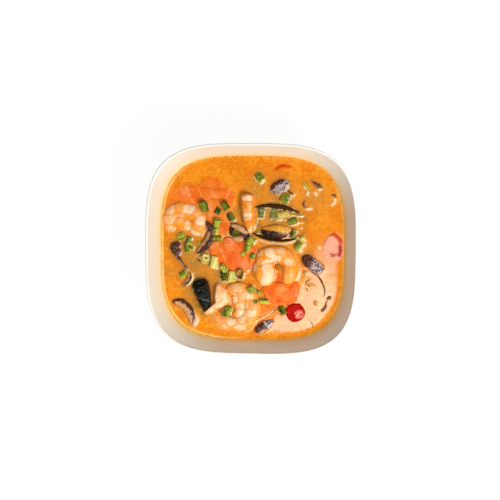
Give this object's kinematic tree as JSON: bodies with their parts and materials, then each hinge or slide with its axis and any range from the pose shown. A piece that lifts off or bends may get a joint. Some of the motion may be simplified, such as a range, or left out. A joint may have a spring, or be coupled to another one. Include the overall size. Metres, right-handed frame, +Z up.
{
  "type": "tom yum soup in a square bowl",
  "caption": "Square white bowl of creamy orange soup with shrimp, salmon, mussels, mushroom, tomato and spring onion.",
  "frame": {"origin": "middle of the bowl, on the surface that it stands on", "axes": "+Z up out of the bowl, +X and +Y along its sides"},
  "size_m": [0.2084, 0.2084, 0.07],
  "materials": {
    "porcelain": "off-white gloss glaze",
    "broth": "creamy orange liquid, wet and glossy",
    "shrimp": "cooked flesh, pale with orange bands, wet",
    "salmon": "orange flaked fish with pale lines, wet",
    "mussel_shell": "black shell with an olive sheen, wet",
    "mussel_meat": "tan and brown flesh, wet",
    "mushroom": "dark brown skin over tan flesh, wet",
    "tomato": "red skin and pulp, wet",
    "chilli": "red skin, wet",
    "spring_onion": "green to pale yellow slices, wet"
  },
  "bodies": {
    "root": {"bowl": "porcelain", "shrimp_tail": "shrimp", "mussel_valve": "mussel_shell", "mussel_closed": "mussel_shell", "spring_onion_01": "spring_onion", "spring_onion_02": "spring_onion", "spring_onion_03": "spring_onion", "spring_onion_04": "spring_onion", "spring_onion_05": "spring_onion", "spring_onion_06": "spring_onion", "spring_onion_07": "spring_onion", "spring_onion_08": "spring_onion", "spring_onion_09": "spring_onion", "spring_onion_10": "spring_onion", "spring_onion_11": "spring_onion", "spring_onion_12": "spring_onion", "spring_onion_13": "spring_onion", "spring_onion_14": "spring_onion", "spring_onion_15": "spring_onion", "spring_onion_16": "spring_onion", "spring_onion_17": "spring_onion", "spring_onion_18": "spring_onion", "spring_onion_19": "spring_onion", "spring_onion_20": "spring_onion", "spring_onion_21": "spring_onion", "spring_onion_22": "spring_onion", "spring_onion_23": "spring_onion", "spring_onion_24": "spring_onion", "spring_onion_25": "spring_onion", "spring_onion_26": "spring_onion", "spring_onion_27": "spring_onion", "spring_onion_28": "spring_onion", "spring_onion_29": "spring_onion", "spring_onion_30": "spring_onion", "spring_onion_31": "spring_onion", "spring_onion_32": "spring_onion", "spring_onion_33": "spring_onion", "spring_onion_34": "spring_onion", "spring_onion_35": "spring_onion", "chilli_sliver": "chilli", "tomato_half": "tomato", "tomato_wedge": "tomato", "mussel_meat": "mussel_meat", "mushroom_2": "mushroom", "shrimp_right": "shrimp", "shrimp_front": "shrimp", "shrimp_left": "shrimp", "mushroom_1": "mushroom", "mushroom_3": "mushroom", "mushroom_4": "mushroom", "mushroom_5": "mushroom", "mushroom_6": "mushroom", "mushroom_7": "mushroom", "mushroom_8": "mushroom", "salmon_middle": "salmon", "salmon_right": "salmon", "salmon_strip": "salmon", "salmon_back": "salmon", "salmon_front": "salmon", "broth": "broth"}
  },
  "joints": []
}
